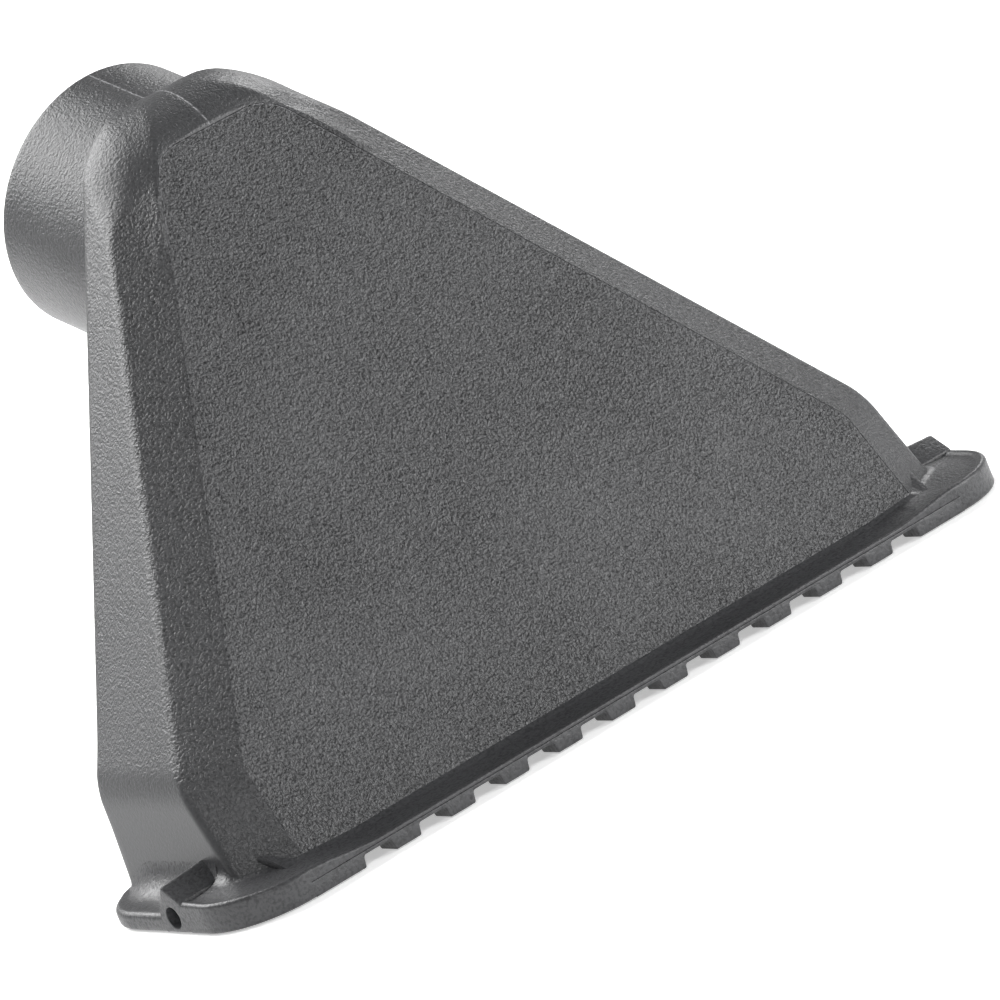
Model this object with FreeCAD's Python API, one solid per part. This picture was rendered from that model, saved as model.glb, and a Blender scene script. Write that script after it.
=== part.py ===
import FreeCAD, Part
import math
import os

from FreeCAD import Vector

# Wide suction head for a wet and dry vacuum cleaner, in millimetres.
# +Z is up from the floor, +X runs along the mouth, and the toothed front lip faces -Y.
# The origin is on the floor, in the middle of the overall width and length. Sizes along Y
# are counted from the front lip, and the finished parts are moved back at the end.

# ---- mouth frame -------------------------------------------------------------------
mouth_width = 231.0
mouth_depth = 67.5
frame_corner_radius = 18.0
frame_height = 4.4
opening_end_gap = 20.5
opening_rear_gap = 6.5
ledge_front_height = 4.6
ledge_rise = 1.5
rim_height = 8.0
rim_width = 2.4
rim_length = 31.5
rim_slope_length = 10.0

# ---- toothed lip -------------------------------------------------------------------
lip_end_gap = 19.0
lip_depth = 6.5
lip_height = 3.6
notch_count = 11
notch_end_gap = 18.2
notch_width = 8.2
notch_depth = 2.7
notch_corner_radius = 1.0

# ---- hood --------------------------------------------------------------------------
wall = 3.0
face_foot = 6.4
face_lean = 27.9
hood_top = 154.3
shoulder_radius = 18.0
crown_radius = 25.0
kink_height = 28.0
side_flange = 11.5
side_draft = 1.6
side_half_width_top = 21.3
back_inset = 1.0
back_lean = 16.3
chamfer_width_foot = 13.0
chamfer_width_kink = 12.5
face_half_width_top = 16.2
chamfer_depth = 8.2

# ---- front cover -------------------------------------------------------------------
cover_thickness = 1.8
cover_corner_radius = 8.0
cover_land = 4.0
cover_gap = 0.12

# ---- hose spigot -------------------------------------------------------------------
spigot_radius = 31.75
spigot_wall = 2.0
spigot_tilt = 20.0
spigot_reach = 40.93
spigot_rim_drop = 23.8
sleeve_wall = 1.5
sleeve_length = 40.0
sleeve_stop_width = 2.2
sleeve_stop_length = 2.5

# ---- end pins ----------------------------------------------------------------------
pin_y = 29.5
pin_z = 3.8
pin_head_radius = 2.6
pin_journal_radius = 1.7
pin_recess = 3.0
pin_head_length = 8.0
pin_journal_length = 15.0
pin_casing_gap = 0.3
journal_clearance = 0.08
housing_half_width = 5.2
housing_ridge_height = 12.4
housing_ridge_shift = 0.6
housing_front_height = 7.6

# ---- rocking insert ----------------------------------------------------------------
insert_end_gap = 1.6
insert_front = 17.0
insert_back = 56.5
insert_bottom = 1.0
insert_height = 9.0
insert_bar_width = 4.0
insert_end_width = 5.0
insert_corner_cut = 4.0
insert_rib_width = 2.4
insert_rib_lift = 3.0
insert_rib_count = 5
insert_rib_pitch_share = 0.332
blade_thickness = 2.2
blade_floor_gap = 0.2
clamp_thickness = 1.6
clamp_height = 6.0
blade_end_gap = 1.0

# ---- fasteners ---------------------------------------------------------------------
clamp_screw_count = 6
clamp_screw_end_gap = 8.4
clamp_screw_radius = 1.1
clamp_screw_head_radius = 2.0
clamp_screw_head_height = 1.1
frame_screw_radius = 1.5
frame_screw_head_radius = 2.9
frame_screw_head_height = 1.8
frame_screw_recess = 0.6
frame_screw_length = 9.0
screw_gap = 0.2
boss_radius = 3.0
boss_top_gap = 2.6
boss_end_gap = 4.0
boss_front_y = 23.5
boss_rear_gap = 6.2

# ---- sizes that follow from the ones above -------------------------------------------
lean_tangent = math.tan(math.radians(face_lean))
face_up = Vector(0, math.sin(math.radians(face_lean)), math.cos(math.radians(face_lean)))
face_out = Vector(0, -math.cos(math.radians(face_lean)), math.sin(math.radians(face_lean)))
side_half_width_foot = mouth_width / 2 - side_flange
side_half_width_kink = side_half_width_foot - side_draft
face_half_width_foot = side_half_width_foot - chamfer_width_foot
face_half_width_kink = side_half_width_kink - chamfer_width_kink
opening_half_width = mouth_width / 2 - opening_end_gap
rim_end_x = mouth_width / 2 - rim_length
boss_x = opening_half_width + boss_end_gap
lip_length = mouth_width - 2 * lip_end_gap
notch_pitch = (lip_length - 2 * notch_end_gap) / (notch_count - 1)
shoulder_run = shoulder_radius * math.tan(math.radians(90 - face_lean) / 2)
cover_top = hood_top - shoulder_run * math.cos(math.radians(face_lean))
back_y = mouth_depth - back_inset
spigot_rim_z = hood_top - spigot_rim_drop
back_y_at_rim = back_y + (spigot_rim_z - kink_height) * math.tan(math.radians(back_lean))
spigot_rim_y = back_y_at_rim + spigot_reach
tilt = math.radians(spigot_tilt)
spigot_axis = Vector(0, math.cos(tilt), math.sin(tilt))
rim_centre = Vector(0, spigot_rim_y, spigot_rim_z)
bore_radius = spigot_radius - spigot_wall
hose_bore_radius = bore_radius - sleeve_wall
opening_rear = mouth_depth - opening_rear_gap
insert_half_width = opening_half_width - insert_end_gap
insert_rib_pitch = insert_half_width * insert_rib_pitch_share
clamp_screw_pitch = 2 * (insert_half_width - clamp_screw_end_gap) / (clamp_screw_count - 1)
blade_front = insert_back
blade_back = blade_front + blade_thickness
insert_top = insert_bottom + insert_height
overall_length = spigot_rim_y + spigot_radius * math.sin(tilt)
cover_reach = 12.0
below_floor = 20.0
far = 400.0


def face_y(z):
    """Depth of the leaning front face at height z."""
    return face_foot + z * lean_tangent


def rounded_outline(corners, place):
    """Closed wire through corners (u, v, radius), rounded where the radius is not zero."""
    count = len(corners)
    ends = []
    for index in range(count):
        before = Vector(*corners[index - 1][:2], 0)
        here = Vector(*corners[index][:2], 0)
        after = Vector(*corners[(index + 1) % count][:2], 0)
        radius = corners[index][2]
        back = (before - here).normalize()
        ahead = (after - here).normalize()
        half = back.getAngle(ahead) / 2
        run = radius / math.tan(half)
        middle = here
        if radius:
            centre = here + (back + ahead).normalize() * (radius / math.sin(half))
            middle = centre + (here - centre).normalize() * radius
        ends.append((here + back * run, middle, here + ahead * run, radius))
    edges = []
    for index in range(count):
        start, middle, end, radius = ends[index]
        if radius:
            edges.append(Part.Arc(place(start), place(middle), place(end)).toShape())
        edges.append(Part.makeLine(place(end), place(ends[(index + 1) % count][0])))
    return Part.Wire(edges)


def on_side(point):
    """Puts a (y, z) outline point on the middle plane."""
    return Vector(0, point.x, point.y)


def on_front(point):
    """Puts an (x, z) outline point on the plane y = 0."""
    return Vector(point.x, 0, point.y)


def on_floor(point):
    """Puts an (x, y) outline point on the floor."""
    return Vector(point.x, point.y, 0)


def on_face(point):
    """Puts a point on the leaning front face, where v is the distance up along the face."""
    return Vector(point.x, face_foot, 0) + face_up * point.y


def along_face(z):
    """Distance up along the leaning face to height z."""
    return z / math.cos(math.radians(face_lean))


def shrunk_face(outline, amount):
    """Flat face inside an outline, moved in by the amount on every side."""
    face = Part.Face(outline)
    if amount:
        face = face.makeOffset2D(-amount, 2)
    return face


def prism_both_ways(face, direction, half_length):
    """Extrudes a face by the half length each way from where it lies."""
    start = face.copy()
    start.translate(direction * -half_length)
    return start.extrude(direction * (2 * half_length))


def slab_beyond(points, outward):
    """Large block on the outer side of the plane through three points."""
    first, second, third = points
    normal = (second - first).cross(third - first).normalize()
    if normal.dot(outward) < 0:
        normal = normal * -1
    placement = FreeCAD.Placement(first, FreeCAD.Rotation(Vector(0, 0, 1), normal))
    block = Part.makeBox(2 * far, 2 * far, far, Vector(-far, -far, 0))
    block.Placement = placement
    return block, normal


def box_between(low, high):
    """Box from its lowest to its highest corner."""
    return Part.makeBox(high[0] - low[0], high[1] - low[1], high[2] - low[2], Vector(*low))


def rod(start, direction, radius, length):
    """Round rod from a start point."""
    return Part.makeCylinder(radius, length, start, direction)


def side_outline():
    """Hood seen from the end: leaning face, round shoulder, flat top and leaning back."""
    back_tangent = math.tan(math.radians(back_lean))
    back_top = back_y + (hood_top - kink_height) * back_tangent
    corners = [
        (face_y(-below_floor), -below_floor, 0),
        (face_y(hood_top), hood_top, shoulder_radius),
        (back_top, hood_top, 0),
        (back_y, kink_height, 0),
        (back_y, -below_floor, 0),
    ]
    return rounded_outline(corners, on_side)


def front_outline():
    """Hood seen from the front: upright foot, sloping sides and a round crown."""
    foot_slope = (side_half_width_foot - side_half_width_kink) / (kink_height - frame_height)
    low_half = side_half_width_foot + foot_slope * (frame_height + below_floor)
    right = [
        (low_half, -below_floor, 0),
        (side_half_width_kink, kink_height, 0),
        (side_half_width_top, hood_top, crown_radius),
    ]
    left = [(-x, z, radius) for x, z, radius in reversed(right)]
    return rounded_outline(right + left, on_front)


def hood_form(inset):
    """Solid hood with every face moved in by the inset; the mouth side runs below the floor."""
    side = shrunk_face(side_outline(), inset)
    front = shrunk_face(front_outline(), inset)
    form = prism_both_ways(side, Vector(1, 0, 0), far)
    form = form.common(prism_both_ways(front, Vector(0, 1, 0), far))
    for sign in (-1, 1):
        face_foot_point = Vector(sign * face_half_width_foot, face_y(frame_height), frame_height)
        face_kink = Vector(sign * face_half_width_kink, face_y(kink_height), kink_height)
        face_top = Vector(sign * face_half_width_top, face_y(cover_top), cover_top)
        side_kink = Vector(sign * side_half_width_kink, face_kink.y + chamfer_depth, kink_height)
        for third in (face_foot_point, face_top):
            block, normal = slab_beyond((face_kink, side_kink, third), Vector(sign, -1, 0))
            block.translate(normal * -inset)
            form = form.cut(block)
    return form


def behind_back(shape, setback):
    """The part of a shape behind the hood's leaning back, from a setback inside it."""
    back_edge = Vector(0, back_y - setback, kink_height)
    lean = math.radians(back_lean)
    up_point = back_edge + Vector(0, math.sin(lean), math.cos(lean))
    side_point = back_edge + Vector(1, 0, 0)
    block, _ = slab_beyond((back_edge, up_point, side_point), Vector(0, 1, 0))
    return shape.common(block)


def above_frame(shape):
    """The part of a shape above the top of the mouth frame."""
    return shape.common(box_between((-far, -far, frame_height), (far, far, far)))


def spigot_rod(radius, length):
    """Round rod along the spigot's axis, from the rim into the hood."""
    return rod(rim_centre, spigot_axis * -1, radius, length)


def boss_places():
    """Where the four frame screws stand."""
    rear_y = opening_rear - boss_rear_gap
    return [(sign * boss_x, y) for sign in (-1, 1) for y in (boss_front_y, rear_y)]


def cover_prism(gap):
    """Block through the front wall with the cover's outline, drawn in by the gap."""
    corners = [
        (face_half_width_foot, along_face(ledge_top()), 0),
        (face_half_width_kink, along_face(kink_height), 0),
        (face_half_width_top, along_face(cover_top), cover_corner_radius),
    ]
    corners = corners + [(-x, z, radius) for x, z, radius in reversed(corners)]
    outline = rounded_outline(corners, on_face)
    return prism_both_ways(shrunk_face(outline, gap), face_out, cover_reach)


def ledge_top():
    """Height of the frame's front ledge where the cover stands on it."""
    return ledge_front_height + ledge_rise


def front_slab(depth):
    """Layer of the given depth under the leaning front face."""
    foot = Vector(0, face_foot, 0)
    points = (foot, foot + face_up, foot + Vector(1, 0, 0))
    block, normal = slab_beyond(points, face_out)
    inner_block = block.copy()
    inner_block.translate(normal * -depth)
    return inner_block.cut(block)


def boss_top():
    """Height of the screw bosses inside the casing."""
    return frame_screw_recess + frame_screw_head_height + frame_screw_length + boss_top_gap


def pin_rod(sign, outer_x, inner_x, radius):
    """Round rod along the pin axis between two distances from the middle plane."""
    return rod(Vector(sign * inner_x, pin_y, pin_z), Vector(sign, 0, 0), radius, outer_x - inner_x)


def casing():
    """Hollow hood with the spigot, the screw bosses and the opening for the front cover."""
    outer = hood_form(0.0)
    reach = 3 * spigot_radius
    shell = outer.cut(hood_form(wall))
    shell = shell.fuse(behind_back(spigot_rod(spigot_radius, reach), wall / 2))
    shell = shell.cut(behind_back(spigot_rod(bore_radius, reach), 2 * wall))
    shell = shell.cut(spigot_rod(bore_radius, sleeve_length))
    for x, y in boss_places():
        boss = rod(Vector(x, y, 0), Vector(0, 0, 1), boss_radius, boss_top())
        shell = shell.fuse(boss.common(outer))
    shell = shell.cut(front_slab(cover_thickness).common(cover_prism(0.0)))
    shell = shell.cut(front_slab(2 * wall).common(cover_prism(cover_land)))
    land_inside = face_half_width_foot - cover_land
    doorway = box_between((-land_inside, -far, -far), (land_inside, far, kink_height))
    shell = above_frame(shell.cut(front_slab(2 * wall).common(doorway)))
    for x, y in boss_places():
        depth = boss_top() - boss_top_gap / 2
        shell = shell.cut(rod(Vector(x, y, 0), Vector(0, 0, 1), frame_screw_radius, depth))
    for sign in (-1, 1):
        slot = pin_rod(sign, mouth_width / 2, opening_half_width, pin_head_radius + pin_casing_gap)
        shell = shell.cut(slot)
    return shell


def casing_half(whole, sign):
    """The half of the casing on one side of the middle plane."""
    low = (0, -far, -far) if sign > 0 else (-far, -far, -far)
    high = (far, far, far) if sign > 0 else (0, far, far)
    return whole.common(box_between(low, high))


def front_cover():
    """Grained panel that drops into the front opening and stands on the frame's ledge."""
    return front_slab(cover_thickness).common(cover_prism(cover_gap))


def hose_sleeve():
    """One-piece lining that turns the two halves of the spigot into a round socket."""
    tube = spigot_rod(bore_radius, sleeve_length)
    tube = tube.cut(spigot_rod(hose_bore_radius, sleeve_length - sleeve_stop_length))
    return tube.cut(spigot_rod(hose_bore_radius - sleeve_stop_width, sleeve_length))


def frame_outline():
    """Plan of the mouth frame."""
    half = mouth_width / 2
    corners = [
        (half, 0, frame_corner_radius),
        (half, mouth_depth, frame_corner_radius),
        (-half, mouth_depth, frame_corner_radius),
        (-half, 0, frame_corner_radius),
    ]
    return rounded_outline(corners, on_floor)


def extruded_along_x(points, half_length):
    """Straight bar with a (y, z) section, from one half length to the other."""
    section = Part.Face(rounded_outline([(y, z, 0) for y, z in points], on_side))
    return prism_both_ways(section, Vector(1, 0, 0), half_length)


def front_ledge():
    """Sloping step above the toothed lip, cut away where the casing stands."""
    top_y = face_y(ledge_top())
    points = [(0, lip_height), (0, ledge_front_height), (top_y, ledge_top()), (top_y, lip_height)]
    ledge = extruded_along_x(points, mouth_width / 2 - frame_corner_radius)
    return ledge.cut(above_frame(hood_form(0.0)))


def cover_heel():
    """Upstand behind the foot of the front cover, with the seat that the cover stands in."""
    seat = Vector(0, face_y(ledge_top()), ledge_top())
    seat_back = seat - face_out * cover_thickness
    heel_front = seat_back + face_up * cover_land
    heel_back = heel_front - face_out * (wall - cover_thickness)
    drop = (heel_back.z - lip_height) / face_up.z
    heel_foot = heel_back - face_up * drop
    front_y = face_y(frame_height)
    corners = [seat, seat_back, heel_front, heel_back, heel_foot]
    points = [(front_y, lip_height), (front_y, frame_height)]
    points = points + [(corner.y, corner.z) for corner in corners]
    return extruded_along_x(points, face_half_width_foot - cover_land - cover_gap)


def raised_rim():
    """Rim that rises along both front corners and stops at the pin housings."""
    outline = frame_outline()
    ring = shrunk_face(outline, 0).cut(shrunk_face(outline, rim_width))
    ring = ring.extrude(Vector(0, 0, rim_height))
    half = mouth_width / 2
    parts = []
    for sign in (-1, 1):
        corners = [
            (sign * rim_end_x, 0, 0),
            (sign * rim_end_x, ledge_front_height, 0),
            (sign * (rim_end_x + rim_slope_length), rim_height, 0),
            (sign * half, rim_height, 0),
            (sign * half, 0, 0),
        ]
        region = Part.Face(rounded_outline(corners, on_front))
        region = region.extrude(Vector(0, pin_y, 0))
        parts.append(ring.common(region))
    return parts


def pin_housings():
    """Wedge-shaped ribs over the pin bores, from the casing's sides to the frame's ends."""
    points = [
        (pin_y - housing_half_width, 0),
        (pin_y - housing_half_width, housing_front_height),
        (pin_y + housing_ridge_shift, housing_ridge_height),
        (pin_y + housing_half_width, frame_height),
        (pin_y + housing_half_width, 0),
    ]
    bar = extruded_along_x(points, mouth_width / 2)
    middle = box_between((-opening_half_width, -far, -1), (opening_half_width, far, far))
    return bar.cut(middle).cut(above_frame(hood_form(0.0)))


def mouth_frame():
    """Ring that carries the casing: ledge, rims, pin housings, screw seats and bores."""
    frame = shrunk_face(frame_outline(), 0).extrude(Vector(0, 0, frame_height))
    low = (-opening_half_width, lip_depth, -1)
    high = (opening_half_width, opening_rear, frame_height + 1)
    frame = frame.cut(box_between(low, high))
    frame = frame.fuse([front_ledge(), cover_heel(), pin_housings()] + raised_rim())
    lip_space = (lip_length / 2, lip_depth, lip_height)
    frame = frame.cut(box_between((-lip_space[0], -1, -1), lip_space))
    head_end = mouth_width / 2 - pin_recess - pin_head_length
    for sign in (-1, 1):
        frame = frame.cut(pin_rod(sign, mouth_width / 2, head_end, pin_head_radius))
        frame = frame.cut(pin_rod(sign, head_end, opening_half_width - 1, pin_journal_radius))
    for x, y in boss_places():
        up = Vector(0, 0, 1)
        recess = frame_screw_recess + frame_screw_head_height
        frame = frame.cut(rod(Vector(x, y, 0), up, frame_screw_head_radius + screw_gap, recess))
        frame = frame.cut(rod(Vector(x, y, 0), up, frame_screw_radius + screw_gap, frame_height))
    return frame.removeSplitter()


def toothed_lip():
    """Front lip strip with a row of round-cornered air notches."""
    half = lip_length / 2
    strip = box_between((-half, 0, 0), (half, lip_depth, lip_height))
    for index in range(notch_count):
        middle = (index - (notch_count - 1) / 2) * notch_pitch
        left = middle - notch_width / 2
        right = middle + notch_width / 2
        corners = [
            (left, -1, 0),
            (left, notch_depth, notch_corner_radius),
            (right, notch_depth, notch_corner_radius),
            (right, -1, 0),
        ]
        notch = Part.Face(rounded_outline(corners, on_front))
        strip = strip.cut(notch.extrude(Vector(0, lip_depth, 0)))
    return strip


def pivot_pin(sign):
    """Stepped pin: the head fills the end bore and the journal carries the insert."""
    outer = mouth_width / 2 - pin_recess
    step = outer - pin_head_length
    head = pin_rod(sign, outer, step, pin_head_radius)
    return head.fuse(pin_rod(sign, step, step - pin_journal_length, pin_journal_radius))


def clamp_screw_places():
    """Distances along the mouth of the screws that hold the blade."""
    first = -(clamp_screw_count - 1) / 2 * clamp_screw_pitch
    return [first + index * clamp_screw_pitch for index in range(clamp_screw_count)]


def clamp_middle():
    """Height of the middle of the clamp strip and of its screws."""
    return insert_top - clamp_height / 2


def clamp_screw_shank(x, start_y):
    """Shank of one clamp screw from a start depth to the back of the clamp strip."""
    length = blade_back + clamp_thickness - start_y
    return rod(Vector(x, start_y, clamp_middle()), Vector(0, 1, 0), clamp_screw_radius, length)


def insert_frame():
    """Rocking carrier in the mouth: two bars, two ends on the pins and cross ribs."""
    half = insert_half_width
    corners = [
        (half - insert_corner_cut, insert_front, 0),
        (half, insert_front + insert_corner_cut, 0),
        (half, insert_back, 0),
        (-half, insert_back, 0),
        (-half, insert_front + insert_corner_cut, 0),
        (-half + insert_corner_cut, insert_front, 0),
    ]
    outer = Part.Face(rounded_outline(corners, on_floor))
    outer = outer.extrude(Vector(0, 0, insert_height))
    outer.translate(Vector(0, 0, insert_bottom))
    inner_half = half - insert_end_width
    low = (-inner_half, insert_front + insert_bar_width, insert_bottom - 1)
    high = (inner_half, insert_back - insert_bar_width, insert_top + 1)
    carrier = outer.cut(box_between(low, high))
    for index in range(insert_rib_count):
        x = (index - (insert_rib_count - 1) / 2) * insert_rib_pitch
        low = (x - insert_rib_width / 2, insert_front, insert_bottom + insert_rib_lift)
        high = (x + insert_rib_width / 2, insert_back, insert_top)
        carrier = carrier.fuse(box_between(low, high))
    for sign in (-1, 1):
        bore = pin_journal_radius + journal_clearance
        carrier = carrier.cut(pin_rod(sign, half + 1, inner_half - 1, bore))
    for x in clamp_screw_places():
        carrier = carrier.cut(clamp_screw_shank(x, insert_back - insert_bar_width - 1))
    return carrier.removeSplitter()


def squeegee_blade():
    """Rubber wiping strip behind the carrier's rear bar."""
    half = insert_half_width - blade_end_gap
    blade = box_between((-half, blade_front, blade_floor_gap), (half, blade_back, insert_top))
    for x in clamp_screw_places():
        blade = blade.cut(clamp_screw_shank(x, blade_front - 1))
    return blade


def blade_clamp():
    """Flat strip that pinches the blade against the carrier."""
    half = insert_half_width - blade_end_gap
    back = blade_back + clamp_thickness
    strip = box_between((-half, blade_back, insert_top - clamp_height), (half, back, insert_top))
    for x in clamp_screw_places():
        strip = strip.cut(clamp_screw_shank(x, blade_back - 1))
    return strip


def clamp_screws():
    """The clamp screws, as separate solids."""
    screws = []
    seat = insert_back - insert_bar_width
    for x in clamp_screw_places():
        top = Vector(x, seat - clamp_screw_head_height, clamp_middle())
        head = rod(top, Vector(0, 1, 0), clamp_screw_head_radius, clamp_screw_head_height)
        screws.append(head.fuse(clamp_screw_shank(x, seat)))
    return Part.makeCompound(screws)


def frame_screws():
    """The screws that hold the frame to the casing bosses, as separate solids."""
    screws = []
    up = Vector(0, 0, 1)
    for x, y in boss_places():
        head_foot = Vector(x, y, frame_screw_recess)
        head = rod(head_foot, up, frame_screw_head_radius, frame_screw_head_height)
        shank_foot = head_foot + up * frame_screw_head_height
        screws.append(head.fuse(rod(shank_foot, up, frame_screw_radius, frame_screw_length)))
    return Part.makeCompound(screws)


def all_parts():
    """Every sub-part by its name."""
    whole_casing = casing()
    return {
        "casing_left": casing_half(whole_casing, -1),
        "casing_right": casing_half(whole_casing, 1),
        "front_cover": front_cover(),
        "hose_sleeve": hose_sleeve(),
        "mouth_frame": mouth_frame(),
        "toothed_lip": toothed_lip(),
        "pivot_pin_left": pivot_pin(-1),
        "pivot_pin_right": pivot_pin(1),
        "insert_frame": insert_frame(),
        "squeegee_blade": squeegee_blade(),
        "blade_clamp": blade_clamp(),
        "clamp_screws": clamp_screws(),
        "frame_screws": frame_screws(),
    }


os.makedirs("parts", exist_ok=True)
for name, shape in all_parts().items():
    shape.translate(Vector(0, -overall_length / 2, 0))
    shape.exportStep("parts/" + name + ".step")
    solids = len(shape.Solids)
    print(name, "solids", solids, "valid", shape.isValid(), "volume", round(shape.Volume))
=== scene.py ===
import bmesh
import bpy
import numpy as np
from mathutils import Matrix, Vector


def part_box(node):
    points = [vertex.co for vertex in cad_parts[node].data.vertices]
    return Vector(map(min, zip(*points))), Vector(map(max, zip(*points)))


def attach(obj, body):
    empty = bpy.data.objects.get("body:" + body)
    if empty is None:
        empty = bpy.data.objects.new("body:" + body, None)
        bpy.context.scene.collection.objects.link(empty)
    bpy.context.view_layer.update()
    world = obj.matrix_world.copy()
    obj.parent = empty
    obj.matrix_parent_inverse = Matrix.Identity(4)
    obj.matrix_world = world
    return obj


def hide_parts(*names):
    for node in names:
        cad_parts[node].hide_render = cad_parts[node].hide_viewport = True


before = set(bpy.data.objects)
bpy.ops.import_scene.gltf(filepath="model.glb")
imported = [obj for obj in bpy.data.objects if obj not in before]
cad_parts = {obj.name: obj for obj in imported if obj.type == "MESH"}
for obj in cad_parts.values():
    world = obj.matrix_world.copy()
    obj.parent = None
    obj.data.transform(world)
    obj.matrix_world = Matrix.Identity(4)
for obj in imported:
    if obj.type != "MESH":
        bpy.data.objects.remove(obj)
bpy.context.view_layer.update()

# ---- casing halves --------------------------------------------------------------------
# The hood is two thin-walled halves moulded in grained charcoal plastic and glued on the
# middle plane, which leaves a fine flash line over the shoulder and the round hose spigot.
MM = 0.001                      # the frame is in metres; lengths here are millimetres
LIP_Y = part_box("mouth_frame")[0][1] / MM        # Y is counted from the front lip
WALL = 2.0
EDGE_ROUND = 0.2
FRAME_TOP = 4.4
KINK = 28.0                     # height where the sides and back start to lean
HOOD_TOP = 154.3
FACE_FOOT = 6.4
LEAN = np.radians(27.9)
FACE_OUT = np.array([0.0, -np.cos(LEAN), np.sin(LEAN)])
BORDER_FOOT = (91.0, FRAME_TOP)                 # (x, z) corners of the panel's border
BORDER_KINK = (89.9, KINK)
BORDER_SHOULDER = (16.2, 144.72)
BORDER_ROUNDS = (1.5, 6.4)
SIDE_FOOT = 104.0
SIDE_KINK = 102.4
SIDE_TOP = 21.3
CHAMFER_DEEP = 8.2
CHAMFER_TOP = 144.8
BACK_Y = 66.5
BACK_LEAN = np.radians(16.3)
SPIGOT_R = 31.75
SPIGOT_INSIDE = 58.0
SPIGOT_TILT = np.radians(20.0)
SPIGOT_AXIS = np.array([0.0, np.cos(SPIGOT_TILT), np.sin(SPIGOT_TILT)])
RIM_CENTRE = np.array([0.0, 137.403, 130.5])


def smooth_step(t):
    """Zero below 0, one above 1, and three t squared less two t cubed between."""
    t = np.clip(t, 0.0, 1.0)
    return t * t * (3.0 - 2.0 * t)


def face_y(z):
    """Depth of the leaning face at height z: the foot plus the height times the lean's tangent."""
    return FACE_FOOT + z * np.tan(LEAN)


def back_y(z):
    """Depth of the back wall: upright below the kink and leaning above it."""
    return BACK_Y + np.maximum(z - KINK, 0.0) * np.tan(BACK_LEAN)


def rounded_max(values, radius):
    """Largest of the distances, with the crease between them turned into a round of this radius."""
    stack = np.stack(np.broadcast_arrays(*values))
    largest = stack.max(0)
    lifted = np.maximum(stack + radius, 0.0)
    rounded = np.sqrt((lifted**2).sum(0)) - radius
    return np.where(largest > -radius, rounded, largest)


def plane_gap(p, a, b, c, outward):
    """Signed distance of points from the plane through a, b and c, positive on the outward side."""
    normal = np.cross(np.subtract(b, a), np.subtract(c, a))
    normal = normal / np.linalg.norm(normal) * np.sign(np.dot(normal, outward))
    return (p - np.array(a)) @ normal


def hood_gap(p):
    """Distance of points outside the hood: the rounded maximum of its face, chamfer, side, top
    and back distances, each crease with its own radius. Left and right are the same."""
    q = np.concatenate([np.abs(p[..., :1]), p[..., 1:]], -1)
    x, y, z = q[..., 0], q[..., 1], q[..., 2]
    face = (face_y(z) - y) * np.cos(LEAN)
    kink_face = (BORDER_KINK[0], face_y(KINK), KINK)
    kink_side = (SIDE_KINK, face_y(KINK) + CHAMFER_DEEP, KINK)
    shoulder = (BORDER_SHOULDER[0], face_y(CHAMFER_TOP), CHAMFER_TOP)
    foot = (BORDER_FOOT[0], face_y(FRAME_TOP), FRAME_TOP)
    out = (1.0, -1.0, 0.0)
    chamfer_high = plane_gap(q, kink_face, kink_side, shoulder, out)
    chamfer_low = plane_gap(q, kink_face, kink_side, foot, out)
    chamfer = rounded_max([chamfer_high, chamfer_low], 1.2)
    front = rounded_max([face, chamfer], 0.25)
    slope = (SIDE_KINK - SIDE_TOP) / (HOOD_TOP - KINK)
    side_high = (x - SIDE_KINK + (z - KINK) * slope) / np.hypot(1.0, slope)
    draft = (SIDE_FOOT - SIDE_KINK) / (KINK - FRAME_TOP)
    side_low = x - SIDE_KINK + (z - KINK) * draft
    side = rounded_max([side_high, side_low], 2.2)
    near_top = smooth_step((z - 130.0) / 15.0)
    walls = rounded_max([front, side], 1.1 + 4.5 * near_top)
    off_middle = smooth_step((x - 8.0) / 18.0)
    walls = rounded_max([walls, z - HOOD_TOP], 9.2 + 2.2 * off_middle)
    back_high = (y - BACK_Y - (z - KINK) * np.tan(BACK_LEAN)) * np.cos(BACK_LEAN)
    back = -rounded_max([-back_high, BACK_Y - y], 1.2)
    return rounded_max([walls, back], 3.4)


def spigot_gap(p):
    """Distance of points outside the spigot: the distance from its axis less its radius, ended
    a little way inside the hood."""
    from_rim = p - RIM_CENTRE
    along = from_rim @ SPIGOT_AXIS
    away = from_rim - along[..., None] * SPIGOT_AXIS
    return np.maximum(np.linalg.norm(away, axis=-1) - SPIGOT_R, -along - SPIGOT_INSIDE)


def body_gap(p):
    """Distance of points outside the hood and spigot together, with a fillet where they meet
    that fades out towards the crown."""
    fillet = 1.0 + 4.5 * np.clip((150.0 - p[..., 2]) / 14.0, 0.0, 1.0)
    return -rounded_max([-hood_gap(p), -spigot_gap(p)], fillet)


def settle(p, rounds=7):
    """Moves points along the body gap's slope until they lie on the body."""
    step = 1e-3
    for _ in range(rounds):
        here = body_gap(p)
        slope = np.stack([body_gap(p + step * axis) - here for axis in np.eye(3)], -1) / step
        p = p - slope * (here / np.maximum((slope**2).sum(-1), 0.05))[..., None]
    return p


def run_along(line):
    """Distance along a line of points from its first one: the running sum of the steps."""
    return np.concatenate([[0.0], np.cumsum(np.linalg.norm(np.diff(line, axis=0), axis=1))])


def read_off(at, knots, values):
    """Points read off a line that passes through the values at the knots, straight between."""
    values = np.asarray(values, float)
    return np.stack([np.interp(at, knots, values[:, k]) for k in range(values.shape[1])], -1)


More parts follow.
